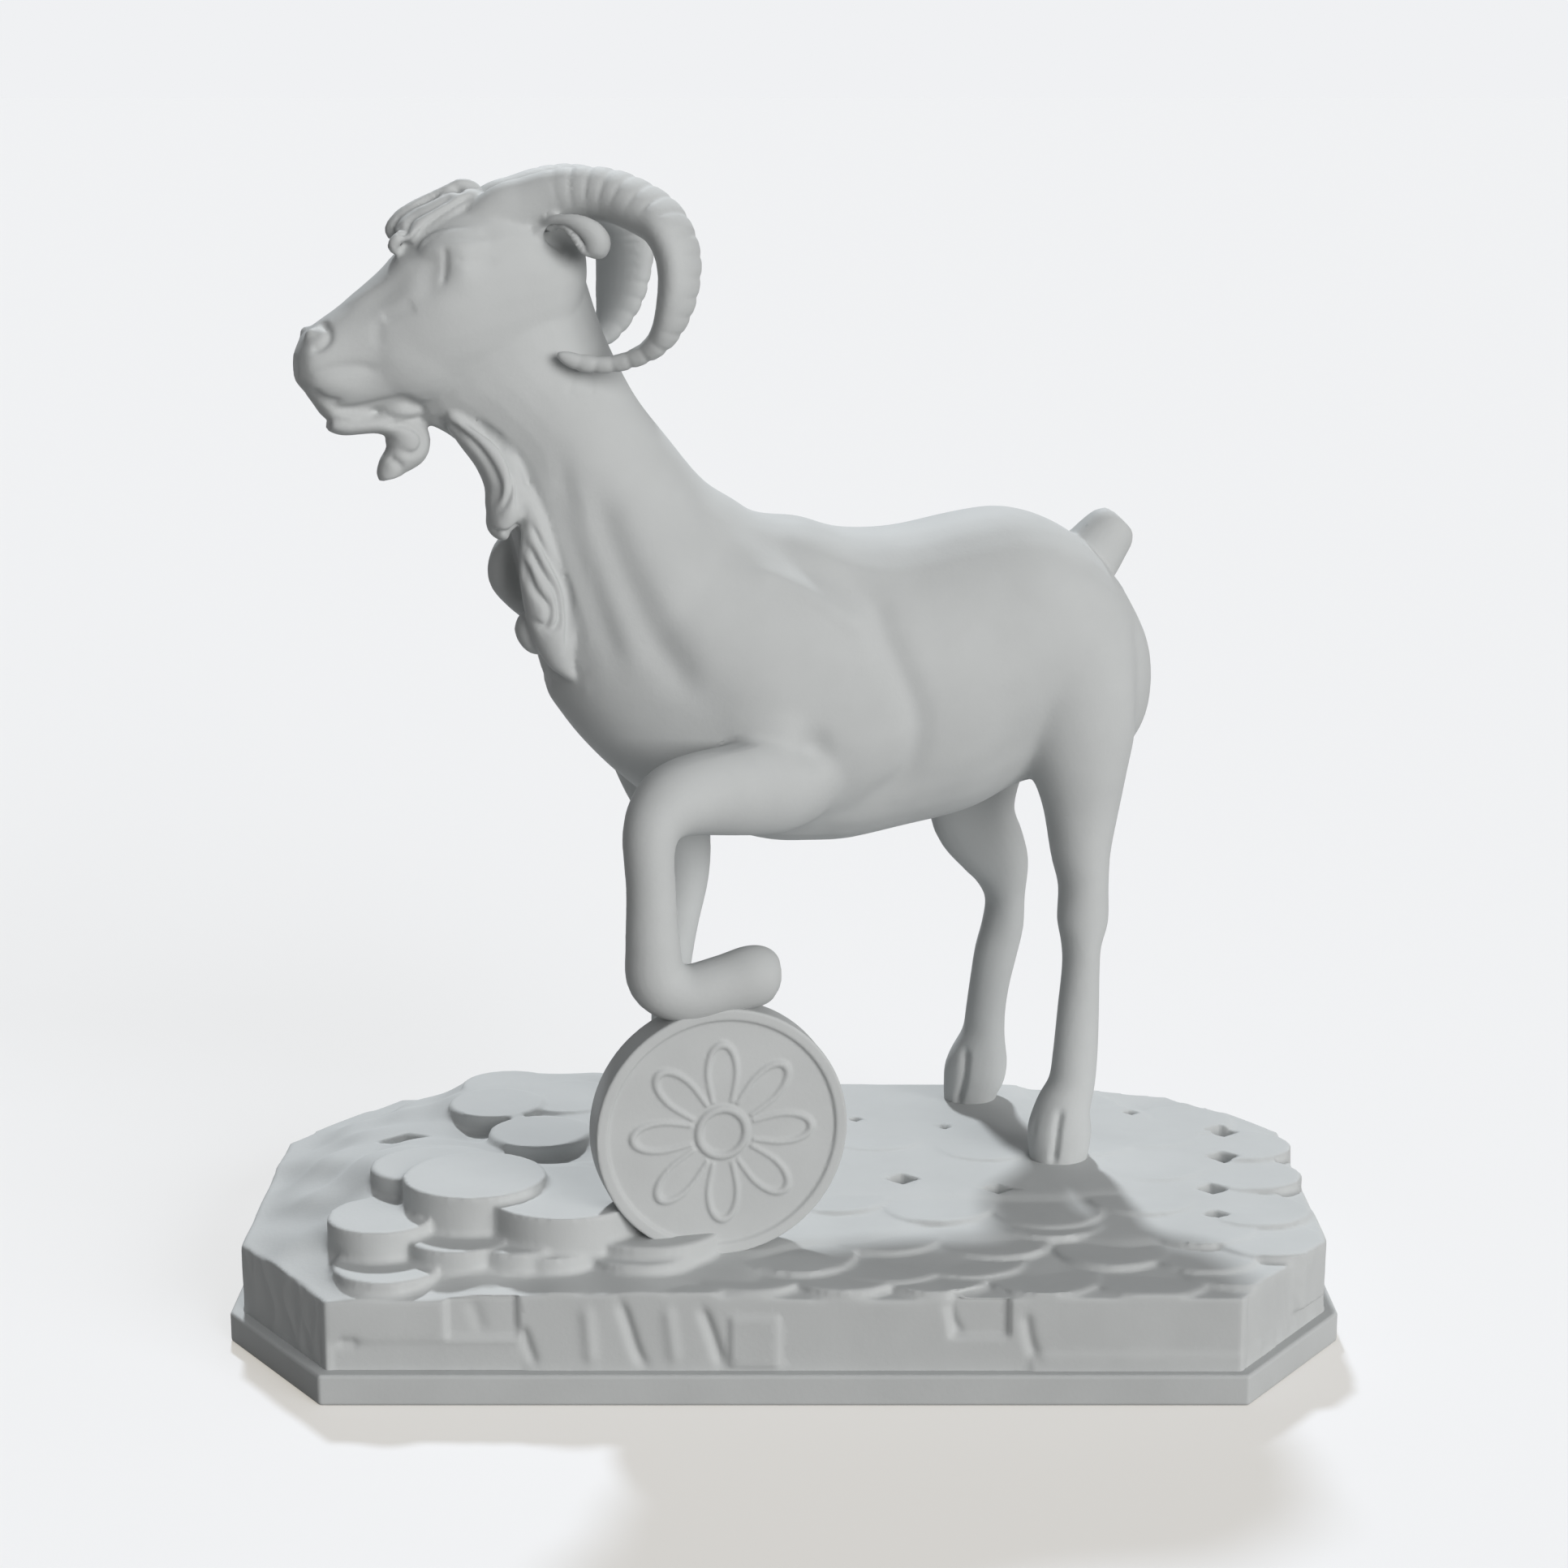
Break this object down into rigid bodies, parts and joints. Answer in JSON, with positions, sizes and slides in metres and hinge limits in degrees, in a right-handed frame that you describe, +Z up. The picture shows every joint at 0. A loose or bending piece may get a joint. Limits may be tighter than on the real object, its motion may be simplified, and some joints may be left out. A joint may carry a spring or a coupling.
{
  "type": "goat figurine",
  "caption": "One-piece cast figurine of a horned goat on an eight-sided plinth heaped with coins, one foreleg raised on a coin that stands on edge.",
  "frame": {"origin": "middle of the plinth's underside", "axes": "+Z up, X along the plinth's long side with the goat's head towards -X, -Y is the side with the raised foreleg"},
  "size_m": [0.16, 0.093, 0.1667],
  "materials": {
    "pale_resin": "matt"
  },
  "bodies": {
    "root": {"goat_figurine": "pale_resin"}
  },
  "joints": []
}
